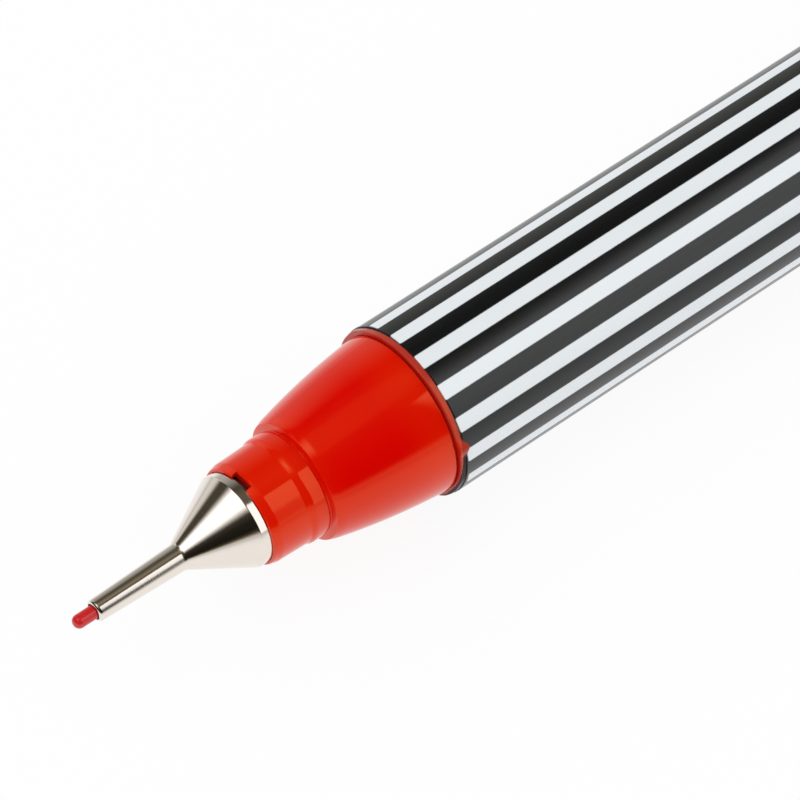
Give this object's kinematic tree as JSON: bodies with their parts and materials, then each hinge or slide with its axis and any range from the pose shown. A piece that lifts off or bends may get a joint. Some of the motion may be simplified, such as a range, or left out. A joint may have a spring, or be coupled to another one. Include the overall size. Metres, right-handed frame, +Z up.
{
  "type": "fineliner pen",
  "caption": "Slim fineliner pen with a striped round barrel, a red nose, a sprung metal needle tip and a clip cap posted on its tail.",
  "frame": {"origin": "on the pen's axis, at the middle of the barrel's length with the nose's flange", "axes": "+X along the axis from the nib towards the tail, +Z up as the pen lies on a table, resting on its cap and clip"},
  "size_m": [0.1494, 0.0113, 0.01],
  "materials": {
    "striped_barrel": "gloss black with white lengthwise stripes",
    "red_plastic": "gloss moulded",
    "plated_metal": "nickel plated, fine turning marks",
    "nib_plastic": "smooth, ink red",
    "natural_plastic": "natural, satin",
    "spring_steel": "bright drawn wire",
    "inked_fibre": "bundled fibre soaked with red ink",
    "clear_film": "thin milky film",
    "black_plastic": "gloss moulded",
    "clip_metal": "nickel plated strip"
  },
  "bodies": {
    "pen": {"barrel": "striped_barrel", "nose_section": "red_plastic", "tip_spring": "spring_steel", "reservoir_core": "inked_fibre", "reservoir_wrap": "clear_film", "tail_plug": "red_plastic"},
    "tip": {"metal_tip": "plated_metal", "tip_carrier": "natural_plastic", "nib": "nib_plastic"},
    "cap": {"cap_shell": "red_plastic", "cap_liner": "natural_plastic", "cap_crown": "black_plastic"},
    "clip": {"cap_clip": "clip_metal"}
  },
  "joints": [
    {"name": "tip_press", "type": "slide", "parent": "pen", "child": "tip", "axis": [1, 0, 0], "range_m": [0, 0.0006], "stiffness_N_per_m": 900, "springref_m": -0.0005, "deforming": ["tip_spring"]},
    {"name": "cap_pull", "type": "slide", "parent": "pen", "child": "cap", "axis": [1, 0, 0], "range_m": [0, 0.03]},
    {"name": "clip_flex", "type": "hinge", "parent": "cap", "child": "clip", "pos_m": [0.0837, -0.0032, -0.00214], "axis": [0, -0.5561, 0.8311], "range_deg": [0, 3], "stiffness_Nm_per_rad": 0.3, "springref_deg": -1.15}
  ]
}
